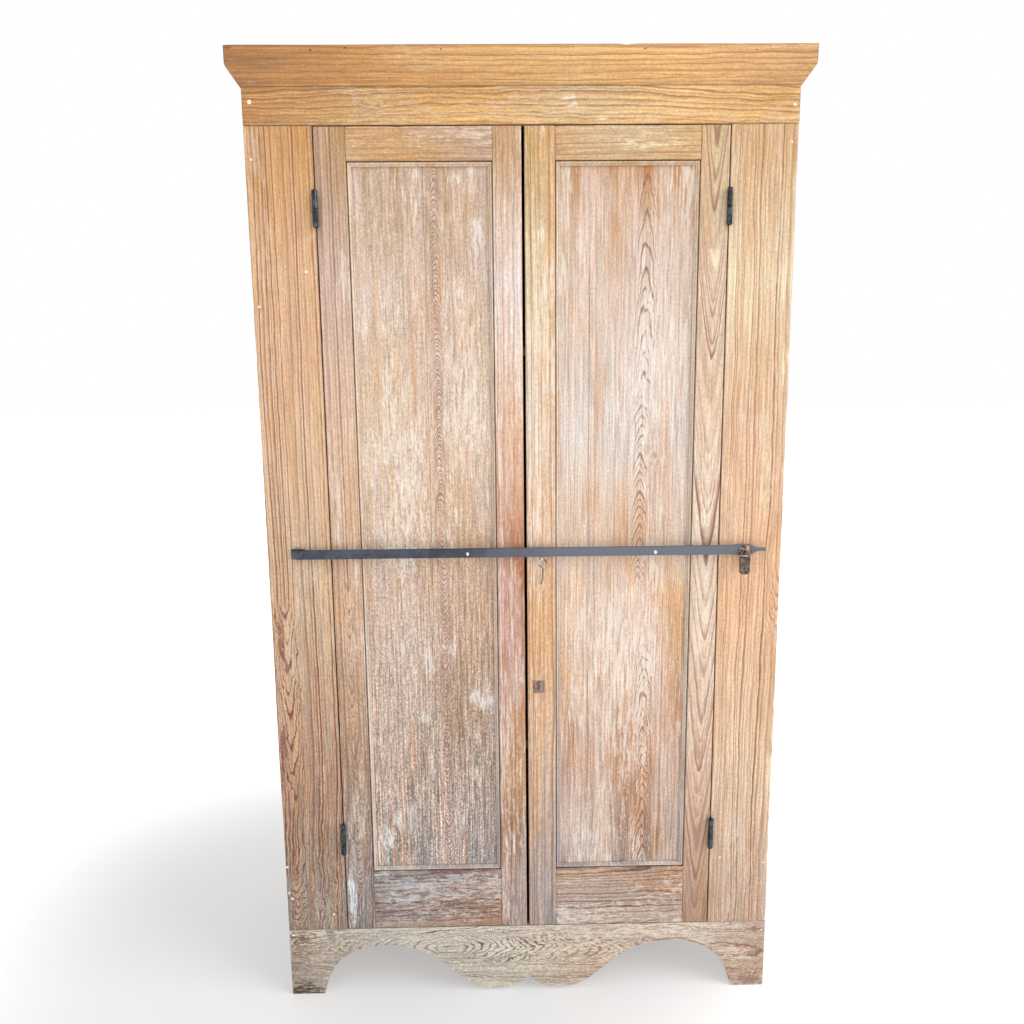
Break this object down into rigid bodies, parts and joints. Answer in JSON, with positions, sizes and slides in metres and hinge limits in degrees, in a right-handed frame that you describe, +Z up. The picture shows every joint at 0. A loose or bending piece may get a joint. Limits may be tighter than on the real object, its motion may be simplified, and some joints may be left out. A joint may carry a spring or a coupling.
{
  "type": "armoire",
  "caption": "Tall pine armoire with a pair of panelled doors, scalloped base, bevelled cornice and an iron security bar with staple and padlock.",
  "frame": {"origin": "on the floor, below the middle of the whole object's box", "axes": "+Z up, the doors face -Y, +X to the right of someone facing the doors"},
  "size_m": [1.21, 0.54, 2.16],
  "materials": {
    "honey_pine": "waxed, worn",
    "frame_pine": "waxed, worn, with grain raised by scraping",
    "door_pine": "scraped, with traces of pale paint",
    "panel_pine": "scraped, with traces of pale paint in the grain",
    "apron_pine": "weathered, pale in the grain",
    "inside_pine": "bare and darkened by age",
    "painted_bead": "worn cream paint over pine",
    "bar_iron": "forged, blue-black, lightly pitted",
    "hinge_iron": "dark, oiled",
    "lock_iron": "rubbed, with brown rust",
    "hook_iron": "rusty wire with remains of cream paint"
  },
  "bodies": {
    "case": {"side_panel_left": "frame_pine", "side_panel_right": "frame_pine", "bottom_board": "inside_pine", "top_board": "inside_pine", "back_board_1": "inside_pine", "back_board_2": "inside_pine", "back_board_3": "inside_pine", "back_board_4": "inside_pine", "back_board_5": "inside_pine", "shelf_lower": "inside_pine", "shelf_cleat_lower_left": "inside_pine", "shelf_cleat_lower_right": "inside_pine", "shelf_middle": "inside_pine", "shelf_cleat_middle_left": "inside_pine", "shelf_cleat_middle_right": "inside_pine", "shelf_upper": "inside_pine", "shelf_cleat_upper_left": "inside_pine", "shelf_cleat_upper_right": "inside_pine", "face_stile_left": "frame_pine", "face_stile_right": "frame_pine", "frieze_board": "honey_pine", "base_apron": "apron_pine", "cornice_front": "honey_pine", "cornice_return_left": "honey_pine", "cornice_return_right": "honey_pine", "bar_bracket": "bar_iron", "bar_hinge_pin": "bar_iron", "lock_staple": "lock_iron", "hinge_left_lower_case_leaf": "hinge_iron", "hinge_left_lower_pin": "hinge_iron", "hinge_left_upper_case_leaf": "hinge_iron", "hinge_left_upper_pin": "hinge_iron", "hinge_right_lower_case_leaf": "hinge_iron", "hinge_right_lower_pin": "hinge_iron", "hinge_right_upper_case_leaf": "hinge_iron", "hinge_right_upper_pin": "hinge_iron"},
    "door_left": {"door_left_hinge_stile": "door_pine", "door_left_meeting_stile": "door_pine", "door_left_top_rail": "door_pine", "door_left_bottom_rail": "door_pine", "door_left_panel": "panel_pine", "door_left_bead": "painted_bead", "hinge_left_lower_door_leaf": "hinge_iron", "hinge_left_upper_door_leaf": "hinge_iron"},
    "door_right": {"door_right_hinge_stile": "door_pine", "door_right_meeting_stile": "door_pine", "door_right_top_rail": "door_pine", "door_right_bottom_rail": "door_pine", "door_right_panel": "panel_pine", "door_right_bead": "painted_bead", "hinge_right_lower_door_leaf": "hinge_iron", "hinge_right_upper_door_leaf": "hinge_iron", "hook_eye": "hook_iron"},
    "bar": {"security_bar": "bar_iron", "bar_rivet": "bar_iron", "bar_hinge_leaf": "bar_iron"},
    "shackle": {"padlock_shackle": "lock_iron"},
    "padlock": {"padlock_body": "lock_iron"},
    "hook": {"latch_hook": "hook_iron"}
  },
  "joints": [
    {"name": "door_left_swing", "type": "hinge", "parent": "case", "child": "door_left", "pos_m": [-0.438, -0.2443, 1.1], "axis": [0, 0, -1], "range_deg": [0, 110]},
    {"name": "door_right_swing", "type": "hinge", "parent": "case", "child": "door_right", "pos_m": [0.438, -0.2443, 1.1], "axis": [0, 0, 1], "range_deg": [0, 110]},
    {"name": "bar_swing", "type": "hinge", "parent": "case", "child": "bar", "pos_m": [-0.522, -0.2465, 1.106], "axis": [0, 0, -1], "range_deg": [0, 110]},
    {"name": "padlock_swing", "type": "hinge", "parent": "case", "child": "shackle", "pos_m": [0.491, -0.2625, 1.1], "axis": [0, -1, 0], "range_deg": [-45, 45]},
    {"name": "shackle_open", "type": "hinge", "parent": "shackle", "child": "padlock", "pos_m": [0.5005, -0.2625, 1.086], "axis": [0, -1, 0], "range_deg": [0, 75]},
    {"name": "hook_swing", "type": "hinge", "parent": "door_right", "child": "hook", "pos_m": [0.037, -0.2436, 1.0843], "axis": [0, -1, 0], "range_deg": [-60, 60]}
  ],
  "couplings": [
    {"joint": "door_right_swing", "follows": "door_left_swing", "ratio": 1},
    {"joint": "bar_swing", "follows": "door_left_swing", "ratio": 1}
  ]
}
